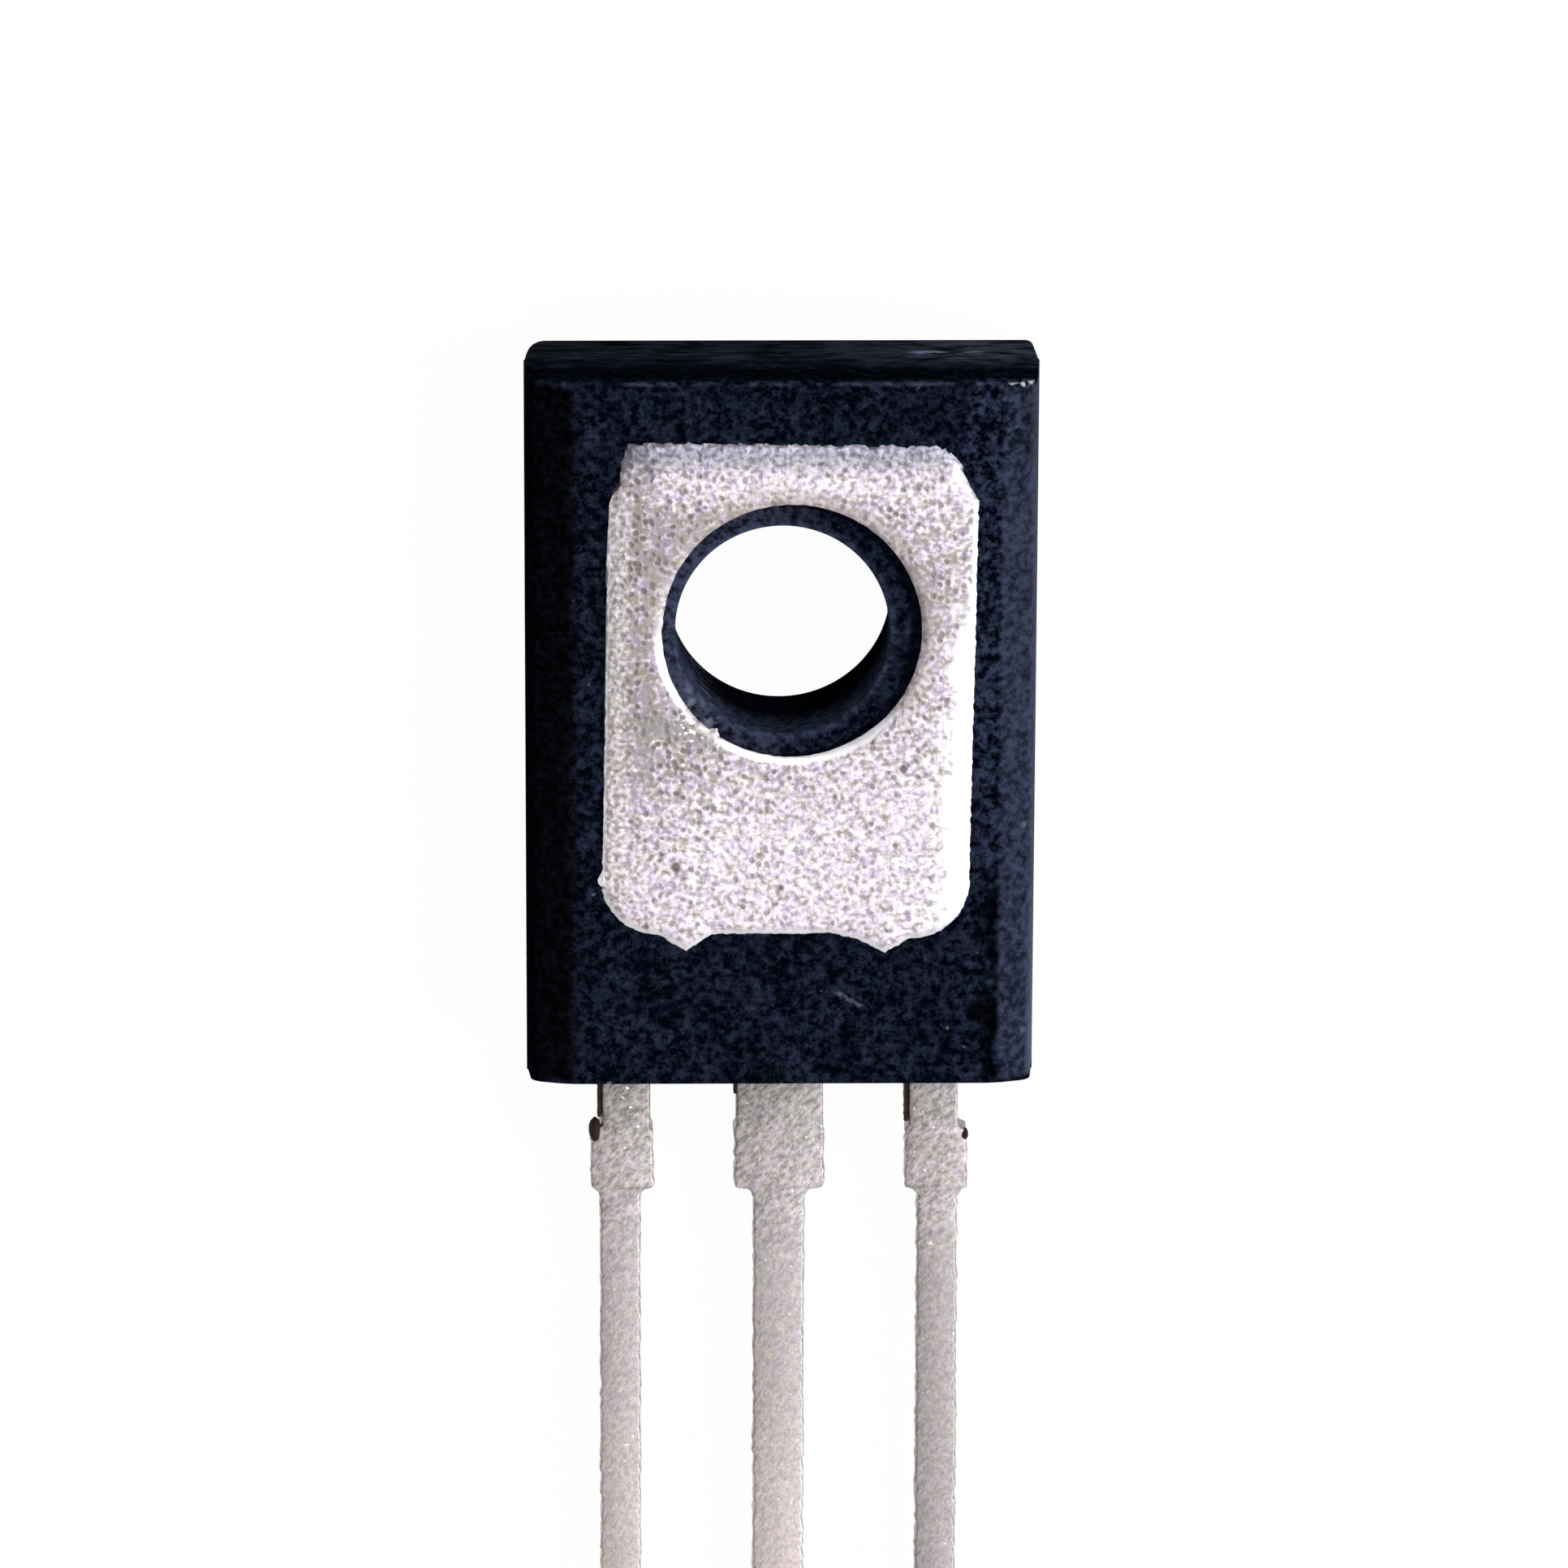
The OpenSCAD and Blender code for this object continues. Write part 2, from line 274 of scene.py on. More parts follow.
class Flow:
    # one output socket of a node tree; sums and products of flows add Math nodes
    def __init__(self, tree, socket=None):
        self.tree = tree
        self.socket = socket

    def node(self, kind, settings=None, inputs=None, out=0):
        made = self.tree.nodes.new(kind)
        for key, value in (settings or {}).items():
            if key == "stops":
                ramp = made.color_ramp.elements
                for index, (place, colour) in enumerate(value):
                    stop = ramp[index] if index < 2 else ramp.new(place)
                    stop.position = place
                    stop.color = (*colour, 1)
            else:
                setattr(made, key, value)
        for key, value in (inputs or {}).items():
            if isinstance(value, Flow):
                self.tree.links.new(value.socket, made.inputs[key])
            else:
                made.inputs[key].default_value = value
        return Flow(self.tree, None if out is None else made.outputs[out])

    def math(self, operation, a, b=0.0):
        return self.node("ShaderNodeMath", {"operation": operation}, {0: a, 1: b})

    def __add__(self, other):
        return self.math("ADD", self, other)

    def __radd__(self, other):
        return self.math("ADD", other, self)

    def __sub__(self, other):
        return self.math("SUBTRACT", self, other)

    def __rsub__(self, other):
        return self.math("SUBTRACT", other, self)

    def __mul__(self, other):
        return self.math("MULTIPLY", self, other)

    def __rmul__(self, other):
        return self.math("MULTIPLY", other, self)

    def __pow__(self, other):
        return self.math("POWER", self, other)

    def unsigned(self):
        return self.math("ABSOLUTE", self)

    def either(self, other):
        # the larger of the two
        return self.math("MAXIMUM", self, other)

    def between(self, low, high):
        # 0 below low, 1 above high
        return self.node("ShaderNodeMapRange", {"interpolation_type": "SMOOTHSTEP"},
                         {"Value": self, "From Min": low, "From Max": high})

    def scaled(self, *factors):
        # the place with its axes scaled, for a pattern that is drawn out
        return self.node("ShaderNodeMapping", {}, {"Vector": self, "Scale": factors})

    def noise(self, size, detail=2.0, rough=0.5):
        # size is the width of one grain, in millimetres
        return self.node("ShaderNodeTexNoise", {},
                         {"Vector": self, "Scale": 1 / (size * mm), "Detail": detail, "Roughness": rough})

    def axis(self, index):
        # one coordinate, in millimetres
        return self.node("ShaderNodeSeparateXYZ", {}, {0: self}, out=index) * (1 / mm)

    def spots(self, size, share, radius):
        # soft round spots in a share of the cells; the radius is a part of the cell
        cell = self.node("ShaderNodeTexVoronoi", {}, {"Vector": self, "Scale": 1 / (size * mm)})
        colour = Flow(self.tree, cell.socket.node.outputs["Color"])
        chance = self.node("ShaderNodeSeparateColor", {}, {0: colour})
        return (1 - cell.between(0.4 * radius, radius)) * (chance + share).between(0.98, 1.0)

    def blend(self, first, second):
        # self is the share of the second colour
        return self.node("ShaderNodeMix", {"data_type": "RGBA"}, {0: self, 6: first, 7: second}, out=2)

    def bump(self, strength, depth):
        # depth in millimetres
        return self.node("ShaderNodeBump", {}, {"Height": self, "Strength": strength, "Distance": depth * mm})


def newFinish(name):
    material = bpy.data.materials.new(name)
    material.use_nodes = True
    tree = material.node_tree
    shader = tree.nodes["Principled BSDF"]
    where = Flow(tree).node("ShaderNodeTexCoord", out=3)
    return material, shader, where


def plug(shader, **sockets):
    for key, value in sockets.items():
        socket = shader.inputs[key.replace("_", " ")]
        if isinstance(value, Flow):
            shader.id_data.links.new(value.socket, socket)
        else:
            socket.default_value = value


def rgb(red, green, blue):
    return (red, green, blue, 1)


def strokeAt(x, y, start, end, wide):
    # 1 along a line between two places in millimetres, soft towards its edges and ends
    span = math.dist(start, end)
    stepX, stepY = (end[0] - start[0]) / span, (end[1] - start[1]) / span
    fromX, fromY = x - (start[0] + end[0]) / 2, y - (start[1] + end[1]) / 2
    along = stepX * fromX + stepY * fromY
    aside = stepX * fromY - stepY * fromX
    acrossLine = 1 - aside.unsigned().between(0.3 * wide, wide)
    return acrossLine * (1 - along.unsigned().between(0.35 * span, 0.55 * span))


def spotAt(x, y, place, radius):
    # 1 in a soft round spot
    fromX, fromY = x - place[0], y - place[1]
    return 1 - ((fromX * fromX + fromY * fromY) ** 0.5).between(0.4 * radius, radius)


resin = {
    # widths of the grain, the tint, the patches, the drag marks and the streaks, in millimetres
    "grain": 0.115, "tint": 0.13, "patch": 0.5, "drag": 0.19, "streak": 0.2,
    "ground": rgb(0.0007, 0.0011, 0.0036),
    "speckle": (rgb(0.031, 0.033, 0.074), rgb(0.025, 0.038, 0.062)),
    # round the hole: the pale ring, a painted shade line outside it, painted shade down the wall and painted
    # light on the mouth
    "ring": rgb(0.040, 0.042, 0.074), "ringShadeLine": rgb(0.0006, 0.0008, 0.0020),
    "wall": rgb(0.0006, 0.0009, 0.0022), "mouth": rgb(0.044, 0.055, 0.102),
    # marks on the face, among them a painted highlight on the ring and painted shade of a hollow and a pit:
    # places in millimetres, and their tones
    "ringGlintAt": (-1.30, -1.20), "scratch": ((0.79, -5.57), (1.28, -5.86)), "marksAndGlint": rgb(0.30, 0.32, 0.42),
    "hollowAt": (2.97, -5.89), "hollowShade": rgb(0.0004, 0.0004, 0.0008),
    # the long bevels: painted shade makes the left nearly black, painted light makes the right paler, most at
    # its outer edge
    "left": (rgb(0.0002, 0.0002, 0.0006), rgb(0.0030, 0.0032, 0.0060)),
    "right": (rgb(0.003, 0.005, 0.013), rgb(0.032, 0.038, 0.071)),
    "rightGlints": rgb(0.16, 0.17, 0.24), "rightEdgeLight": rgb(0.095, 0.100, 0.140),
    # the plain end, paler by painted light, with a painted glint across it and one at its corner
    "end": (rgb(0.0018, 0.0026, 0.0058), rgb(0.031, 0.037, 0.063)),
    "endLine": ((1.9, -1.62), (3.0, -1.62)), "endGlint": rgb(0.28, 0.30, 0.46),
    "cornerLine": ((3.18, 3.70), (3.72, 3.70)), "cornerGlint": rgb(0.62, 0.64, 0.75),
    "coatRough": 0.32, "bumpStrength": 0.35, "bumpDeep": 0.03,
}


def mouldedResin():
    # matt and mottled on the face, smooth on the long bevels, with painted shade down the walls and painted
    # light and shade on the bevels and round the hole
    material, shader, where = newFinish("moulded resin")
    x, y, z = where.axis(0), where.axis(1), where.axis(2)
    radius = (x * x + y * y) ** 0.5
    grain = where.noise(resin["grain"], 3, 0.65)
    patches = where.noise(resin["patch"], 3)
    sideways = where.scaled(0.35, 1.0, 1.0).noise(resin["drag"], 3, 0.65)
    streaks = where.scaled(1.0, 0.2, 1.0).noise(resin["streak"], 2)

    # the face, its speckle paler near its right edge, less so low down
    lowHalf = 1 - y.between(-4.5, -2.5)
    paleRight = 1 + x.between(2.5, 3.1) * (1.1 - 0.9 * lowHalf)
    speckle = grain.between(0.38, 0.76) * (0.2 + 0.85 * patches) * paleRight
    pale = where.noise(resin["tint"], 1).between(0.4, 0.6).blend(*resin["speckle"])
    colour = speckle.blend(resin["ground"], pale)

    # the ring round the hole, paler on the left by painted light, which also falls on the bore's left wall
    ring = (1 - radius.between(1.84, 1.95)) * (0.24 - 0.32 * x) * (0.15 + 1.7 * grain.between(0.36, 0.68))
    colour = ring.blend(colour, resin["ring"])
    # painted shade: a dark line just outside the ring
    ringShadeLine = radius.between(1.87, 1.94) * (1 - radius.between(2.1, 2.3))
    colour = (0.8 * ringShadeLine).blend(colour, resin["ringShadeLine"])

    # a painted highlight on the ring's lower left, a scratch and dust, and painted shade of a shallow hollow
    # beside the right bevel and of a pit
    ringGlint = spotAt(x, y, resin["ringGlintAt"], 0.55) * where.noise(0.16, 2).between(0.5, 0.66)
    scratch = strokeAt(x, y, *resin["scratch"], 0.05) * where.noise(0.09, 2).between(0.38, 0.6)
    dust = where.noise(0.3, 0).between(0.80, 0.82) * where.noise(0.1, 1).between(0.5, 0.7)
    colour = (0.3 * dust + 0.35 * ringGlint + 0.22 * scratch).blend(colour, resin["marksAndGlint"])
    # painted shade, as neither the hollow nor the pit is modelled
    hollowShade = (x + 0.5 * patches).between(3.18, 3.34) * lowHalf * where.noise(0.3, 2).between(0.34, 0.56)
    hollowShade = hollowShade.either(spotAt(x, y, resin["hollowAt"], 0.28))
    colour = (0.9 * hollowShade).blend(colour, resin["hollowShade"])

    # painted shade down the outer walls and down the hole's wall, and painted light on the hole's upper wall,
    # the mouth
    outside = radius.between(1.8, 2.0)
    outer = (1 - z.between(-0.3, -0.08)) * outside * (1.05 - 0.7 * sideways.between(0.5, 0.72))
    inner = (1 - z.between(-1.25, -0.65)) * (1 - outside) * (1 - 0.7 * x.unsigned().between(0.9, 1.5))
    colour = (0.85 * (outer + inner)).blend(colour, resin["wall"])
    mouth = (1 - radius.between(1.58, 1.74)) * z.between(-1.2, -0.2)
    colour = (mouth * (0.3 + 0.6 * grain.between(0.38, 0.66))).blend(colour, resin["mouth"])

    # the long bevels: painted shade on the left; painted light on the right, with lit spots, dimmer near the
    # plain end and lightest at its outer edge
    alongSide = y.between(-7.0, -6.9) * (1 - y.between(3.64, 3.72)) * z.between(-2.3, -1.0)
    rightSide = x.between(3.19, 3.29) * alongSide
    leftSide = (1 - x.between(-3.22, -2.92)) * alongSide * z.between(-1.0, -0.45)
    smooth = (0.85 * grain + 0.15 * patches).between(0.36, 0.66).blend(*resin["right"])
    smooth = (0.4 * where.spots(0.4, 0.12, 0.2)).blend(smooth, resin["rightGlints"])
    colour = leftSide.blend(colour, grain.between(0.40, 0.70).blend(*resin["left"]))
    colour = (rightSide * (1 - 0.55 * y.between(2.1, 3.1))).blend(colour, smooth)
    rightEdgeLight = rightSide * x.between(3.60, 3.80) * (0.4 + 0.6 * (1 - y.between(-7.0, -2.5)))
    colour = (0.75 * rightEdgeLight).blend(colour, resin["rightEdgeLight"])

    # the plain end: painted light, paler towards the right; painted glints across it, along the face's top
    # edge and at the corner
    farEnd = y.between(3.5, 3.7) * (1 - (z + 0.5 * sideways).between(-0.95, -0.35))
    plainEnd = farEnd * (0.35 + 0.65 * x.between(0.5, 3.0))
    colour = plainEnd.blend(colour, sideways.between(0.34, 0.70).blend(*resin["end"]))
    glint = strokeAt(x, z, *resin["endLine"], 0.16) * farEnd * sideways.between(0.42, 0.58)
    topEdge = y.between(3.70, 3.735) * z.between(-0.13, -0.09) * where.noise(0.3, 3, 0.6).between(0.44, 0.66)
    colour = (0.45 * glint + 0.11 * topEdge).blend(colour, resin["endGlint"])
    corner = strokeAt(x, y, *resin["cornerLine"], 0.06) * z.between(-0.9, -0.6)
    corner = 0.6 * corner * where.noise(0.16, 1).between(0.46, 0.58)
    colour = corner.blend(colour, resin["cornerGlint"])

    # a thin polish on the bevels and the plain end
    mottle = 1 - 0.75 * y.between(1.6, 3.0) * (1 - grain.between(0.45, 0.62))
    sheen = 0.01 + 0.06 * streaks
    polish = rightSide * mottle * sheen + leftSide * z.between(-0.3, -0.2) * (1 - y.between(3.3, 3.6)) * sheen
    endPolish = 0.07 * plainEnd * sideways.between(0.2, 0.8)
    plug(shader, Base_Color=colour, Roughness=0.6 + 0.2 * patches, Specular_IOR_Level=0.0,
         Coat_Weight=polish + endPolish, Coat_Roughness=resin["coatRough"],
         Normal=(grain + 0.5 * patches).bump(resin["bumpStrength"], resin["bumpDeep"]))
    return material


def flashResin():
    material, shader, where = newFinish("flash resin")
    grain = where.noise(0.08, 2)
    plug(shader, Base_Color=grain.blend(rgb(0.003, 0.002, 0.002), rgb(0.044, 0.020, 0.010)),
         Roughness=0.5 + 0.3 * grain, Specular_IOR_Level=0.15, Normal=grain.bump(0.3, 0.03))
    return material


tin = {
    # widths of the drift, the two grains and the pits, in millimetres
    "drift": 0.4, "fine": 0.083, "coarse": 0.175, "pit": 0.112,
    # the tab's middle line and its lean, and the middle of its hole
    "middleX": 0.12, "lean": 0.0175, "holeX": 0.145,
    "dark": (rgb(0.32, 0.29, 0.255), rgb(0.36, 0.31, 0.37)),
    "pale": (rgb(0.94, 0.84, 0.88), rgb(0.91, 0.80, 0.95)),
    "pits": rgb(0.17, 0.148, 0.138), "bigPits": rgb(0.10, 0.085, 0.05),
    "bigPitsAt": [((-1.57, -3.62), 0.1), ((1.81, -2.12), 0.09)],
    # duller places, a painted shade round the hole and darker patches: tone, or place and reach
    "dull": rgb(0.26, 0.235, 0.235), "tanRim": rgb(0.42, 0.365, 0.335), "patchTone": rgb(0.22, 0.20, 0.19),
    "patchRight": ((2.3, 0.5), 0.9), "patchLeft": ((-2.25, -0.8), 1.0),
    # painted reflection on the left rolled edge, tan, and painted shade on the top one, grey, each from dark
    # grain to pale
    "leftRollReflection": (rgb(0.38, 0.335, 0.32), rgb(0.83, 0.76, 0.77)),
    "topRollShade": (rgb(0.14, 0.135, 0.175), rgb(0.41, 0.40, 0.48)),
    # painted highlights, the white bands and the thin pale outline along the sides; the smear with its flecks
    "white": rgb(0.97, 0.95, 0.98), "outline": rgb(0.93, 0.94, 1.0), "bandBreak": ((-1.27, -1.50), 0.62),
    "smearLong": ((-2.19, -1.33), (-0.99, -1.73), 0.23), "smearDown": ((-2.08, -1.40), (-2.00, -2.50), 0.17),
    "smear": rgb(0.28, 0.265, 0.25), "flecksAt": ((-1.34, -1.47), 0.34), "flecks": rgb(0.97, 0.95, 1.0),
    "bumpStrength": 0.3, "bumpDeep": 0.03,
}


def grainedTin():
    # grained and pitted, duller at the left and beside the hole, with painted highlights down the right,
    # under the hole and along the lower edge, and painted shade round the hole and on the rolled edges
    material, shader, where = newFinish("grained tin")
    x, y, z = where.axis(0), where.axis(1), where.axis(2)
    acrossTab = x - tin["middleX"] - tin["lean"] * y
    drift = where.noise(tin["drift"], 2) - 0.5
    fine = where.noise(tin["fine"], 1.5)
    coarse = where.noise(tin["coarse"], 2, 0.55)

    # painted highlights, white bands: down the right, under the hole and along the lower edge
    uneven = 0.4 * drift + 0.4 * (coarse - 0.5)
    fromHole = (x - tin["holeX"]) * (x - tin["holeX"]) + y * y
    byHole = 1 - (fromHole + 0.6 * uneven).between(4.05, 4.32)
    rightBand = (acrossTab + 1.3 * uneven - 0.03 * y).between(2.26, 2.60) * (1 - y.between(-0.5, 0.8))
    litRim = (-0.3 * x - y).between(0.5, 1.1)
    holeBand = byHole * litRim * (1 - 0.9 * spotAt(x, y, *tin["bandBreak"]))
    lowBand = (1 - z.between(-0.03, -0.004)) * (1 - y.between(-4.2, -3.6))
    white = rightBand.either(holeBand).either(lowBand)

    # grain and pits, more of them where it is dull
    middle = 1 - ((y + 0.3) * (y + 0.3)).between(0.3, 10.0)
    brightCorner = 0.5 * y.between(1.6, 2.2) * x.between(-2.2, -1.6) * (1 - 0.7 * x.between(0.5, 1.3))
    dull = 0.09 - 0.11 * x + 0.08 * y + 0.35 * middle + 0.5 * where.noise(1.2, 2) - brightCorner
    dull = dull.between(0.0, 1.0)
    hue = where.noise(0.2, 1).between(0.4, 0.6)
    tone = (0.6 * fine + 0.4 * coarse - 0.14 * dull).between(0.32, 0.62)
    colour = tone.blend(hue.blend(*tin["dark"]), hue.blend(*tin["pale"]))
    pits = where.spots(tin["pit"], 0.22 + 0.46 * dull, 0.55)
    colour = ((0.6 + 0.32 * dull) * pits).blend(colour, tin["pits"])
    first, second = [spotAt(x, y, *pit) for pit in tin["bigPitsAt"]]
    bigPits = first + second + where.spots(0.6, 0.04, 0.12)
    colour = (0.85 * bigPits).blend(colour, tin["bigPits"])

    # duller places, a painted shade round the hole, darker patches, and the strips along the edges: painted
    # reflection on the left one, painted shade on the top one
    colour = (0.05 * dull).blend(colour, tin["dull"])
    # painted shade round the hole, tinted brown, kept off its lit lower left
    tanRim = (1 - fromHole.between(3.9, 5.4)) * (1 - litRim)
    colour = (0.45 * tanRim).blend(colour, tin["tanRim"])
    darkPatches = 0.22 * spotAt(x, y, *tin["patchRight"]) + 0.16 * spotAt(x, y, *tin["patchLeft"])
    colour = darkPatches.blend(colour, tin["patchTone"])
    leftBand = (0.3 * drift - acrossTab).between(2.30, 2.50)
    colour = (0.6 * leftBand).blend(colour, fine.between(0.35, 0.65).blend(*tin["leftRollReflection"]))
    colour = (0.9 * y.between(2.25, 2.72)).blend(colour, tone.blend(*tin["topRollShade"]))

    # painted highlights, the white bands and the outline along the sides; the smear and its flecks
    colour = (0.9 * white).blend(colour, tin["white"])
    outline = acrossTab.unsigned().between(2.66, 2.71)
    colour = (0.7 * outline * (1 - 0.7 * y.between(1.4, 2.0))).blend(colour, tin["outline"])
    smear = strokeAt(x, y, *tin["smearLong"]) * coarse.between(0.30, 0.46)
    smear = smear.either(0.5 * strokeAt(x, y, *tin["smearDown"]))
    colour = (0.85 * smear).blend(colour, tin["smear"])
    flecks = spotAt(x, y, *tin["flecksAt"]) * where.noise(0.1, 1).between(0.56, 0.62)
    colour = (0.9 * flecks).blend(colour, tin["flecks"])

    relief = (1 - 0.85 * white) * (coarse + 0.5 * fine - 0.6 * pits)
    plug(shader, Base_Color=colour, Metallic=1.0, Roughness=0.36 + 0.2 * coarse,
         Normal=relief.bump(tin["bumpStrength"], tin["bumpDeep"]))
    return material


leadPlating = {
    # grain width in millimetres, the slant of the grain in degrees and how it is drawn out
    "grain": 0.075, "slant": -40, "drawn": (0.65, 1.15, 1.0),
    "dark": (rgb(0.33, 0.30, 0.27), rgb(0.32, 0.285, 0.295)),
    "pale": (rgb(0.655, 0.585, 0.575), rgb(0.645, 0.57, 0.61)),
    "warm": rgb(0.71, 0.585, 0.54), "right": rgb(0.63, 0.53, 0.585),
    "root": (rgb(0.12, 0.11, 0.095), rgb(0.38, 0.345, 0.315)), "sparkle": rgb(1.0, 0.96, 0.97),
    "bumpStrength": 0.5, "bumpDeep": 0.03,
}


def leadTin():
    # grained aslant, stronger towards the body, dark at the roots, warmer far out but not on the right
    material, shader, where = newFinish("lead tin")
    x, y = where.axis(0), where.axis(1)
    turned = where.node("ShaderNodeVectorRotate", {"rotation_type": "Z_AXIS"},
                        {"Vector": where, "Angle": math.radians(leadPlating["slant"])})
    grain = turned.scaled(*leadPlating["drawn"]).noise(leadPlating["grain"], 2.5, 0.60)
    cloud = where.noise(0.5, 2)
    hue = where.noise(0.16, 1).between(0.4, 0.6)
    nearBody = y.between(-10.6, -9.0)
    sparkle = where.noise(0.08, 0).between(0.80, 0.86) * (0.4 + 0.6 * nearBody)
    strong = 0.5 + (grain - 0.5) * (1.4 + 2.3 * nearBody)
    onRight = x.between(0.8, 1.6)
    inMiddle = (1 - onRight) * x.between(-1.6, -0.8)
    far = 1 - y.between(-14.5, -11.5)
    tone = (0.10 * cloud + 0.90 * strong - 0.17 * onRight * (1 - nearBody)
            + far * (0.13 * (1 - onRight) + 0.12 * inMiddle))
    warm = (1 - y.between(-15.0, -10.0)) * (1 - onRight)
    pale = (0.5 * warm).blend(hue.blend(*leadPlating["pale"]), leadPlating["warm"])
    pale = (0.4 * onRight * (1 - nearBody)).blend(pale, leadPlating["right"])
    colour = tone.blend(hue.blend(*leadPlating["dark"]), pale)
    root = y.between(-8.7, -7.5) * (0.52 - 0.04 * x)
    colour = root.blend(colour, tone.blend(*leadPlating["root"]))
    plug(shader, Base_Color=sparkle.blend(colour, leadPlating["sparkle"]), Metallic=1.0,
         Roughness=0.44 + 0.2 * grain - 0.15 * sparkle,
         Normal=grain.bump(leadPlating["bumpStrength"], leadPlating["bumpDeep"]))
    return material


def plainMetal(name, dull, bright, size, roughness):
    material, shader, where = newFinish(name)
    grain = where.noise(size, 2)
    plug(shader, Base_Color=grain.blend(dull, bright), Metallic=1.0,
         Roughness=roughness + 0.2 * grain, Normal=grain.bump(0.2, 0.01))
    return material


resinFinish = mouldedResin()
tabFinish = grainedTin()
leadFinish = leadTin()
flashFinish = flashResin()
siliconFinish = plainMetal("polished silicon", rgb(0.09, 0.10, 0.13), rgb(0.14, 0.15, 0.19), 0.3, 0.12)
solderFinish = plainMetal("dull solder", rgb(0.30, 0.30, 0.29), rgb(0.46, 0.46, 0.45), 0.1, 0.45)
wireFinish = plainMetal("drawn aluminium", rgb(0.66, 0.66, 0.65), rgb(0.84, 0.84, 0.83), 0.05, 0.3)
print("finishes made")


# Tab plan, shared by the tab and by the opening that the resin leaves over it

tabPlan = {
    "width": 5.49, "up": 2.79, "low": 4.72, "clipWide": 0.46, "clipLong": 0.8, "cornerRound": 0.85,
    "holeRadius": 1.945, "holeShift": (0.025, 0.0), "holeSides": 160, "offset": 0.12, "skew": -1.0,
    # the lower edge between the rounded corners: two ears, and the line where the neck dives into the resin
    "lowEdge": [(-1.445, -4.98), (-1.06, -4.70), (0.70, -4.66), (1.09, -4.75), (1.36, -4.88), (1.505, -4.96)],
}


def layTabSheet(name, margin):
    # a flat sheet of the tab's outline about its hole, grown by the margin
    half = tabPlan["width"] / 2 + margin
    up = tabPlan["up"] + margin
    low = -tabPlan["low"] - margin
    sheet = addSheet(name, (-half, low), (half, up))
    for side in (-1, 1):
        corner = Vector((side * half, up - tabPlan["clipLong"], 0))
        slope = Vector((side * tabPlan["clipLong"], tabPlan["clipWide"], 0))
        cutAt(sheet, corner, slope, clear=True)
    pick(sheet, "VERT", lambda p: near(p.y, low))
    bpy.ops.mesh.bevel(offset=tabPlan["cornerRound"] + margin, segments=8, affect="VERTICES")
    objectMode()
    for x, _ in tabPlan["lowEdge"]:
        cutAt(sheet, (x, 0, 0), (1, 0, 0))
    for x, y in tabPlan["lowEdge"]:
        shift(sheet, lambda p: near(p.y, low) and near(p.x, x), (0, y - margin - low, 0))
    return sheet


def seatTab(piece):
    # the tab sits a little skewed and off the middle line; with no window the turn runs the other way
    pickAll(piece)
    bpy.ops.transform.rotate(value=-math.radians(tabPlan["skew"]), orient_axis="Z", center_override=(0, 0, 0))
    bpy.ops.transform.translate(value=(tabPlan["offset"], 0, 0))
    objectMode()


def thicken(piece, low, high):
    # a flat sheet becomes a plate between two levels
    pickAll(piece)
    bpy.ops.transform.translate(value=(0, 0, low))
    bpy.ops.mesh.extrude_region_move(TRANSFORM_OT_translate={"value": (0, 0, high - low)})
    bpy.ops.mesh.select_all(action="SELECT")
    bpy.ops.mesh.normals_make_consistent(inside=False)
    objectMode()


# Moulded body

body = {
    "length": 10.95, "partingDepth": 1.15, "sideDraft": 4.0, "endDraft": 4.5,
    "plainSideDraft": 1.0, "plainEndDraft": 0.5, "taper": 0.994,
    "padProud": 0.05, "bevelWide": 0.55, "bevelDeep": 0.29, "bevelInnerRound": 0.16, "bevelOuterRound": 0.16,
    # the upright corners open out towards the plain face
    "cornerRound": 0.018, "plainCorner": {-1: 0.28, 1: 0.13}, "plainRound": 0.1,
    "ridgeHigh": 0.010, "ridgeHalf": 0.03,
    "boreRadius": 1.585, "boreDraft": 3.5, "mouthRound": 0.07, "plainMouthRound": 0.05,
    # the tab's pocket, and how far the lead slots run out of the wall and into it
    "pocketShrink": 0.03, "pocketDeep": 0.3, "slotOut": 0.5, "slotIn": 0.9,
}
sideX = bodyHigh.x
endY = bodyHigh.y
wallY = endY - body["length"]
plainZ = bodyLow.z
partingZ = -body["partingDepth"]
faceZ = -body["padProud"]
leadTop, leadFloor = leadHigh.z, leadLow.z


def bodyLevel(z):
    # half width and the two end walls at a level, from the drafts on both sides of the parting line
    away = abs(z - partingZ)
    side, end = ("sideDraft", "endDraft") if z > partingZ else ("plainSideDraft", "plainEndDraft")
    inset = away * math.tan(math.radians(body[end]))
    half = sideX - away * math.tan(math.radians(body[side]))
    if near(z, faceZ):
        bevelAway = body["partingDepth"] - body["bevelDeep"]
        half = sideX - bevelAway * math.tan(math.radians(body["sideDraft"])) - body["bevelWide"]
    return half, wallY + inset, endY - inset


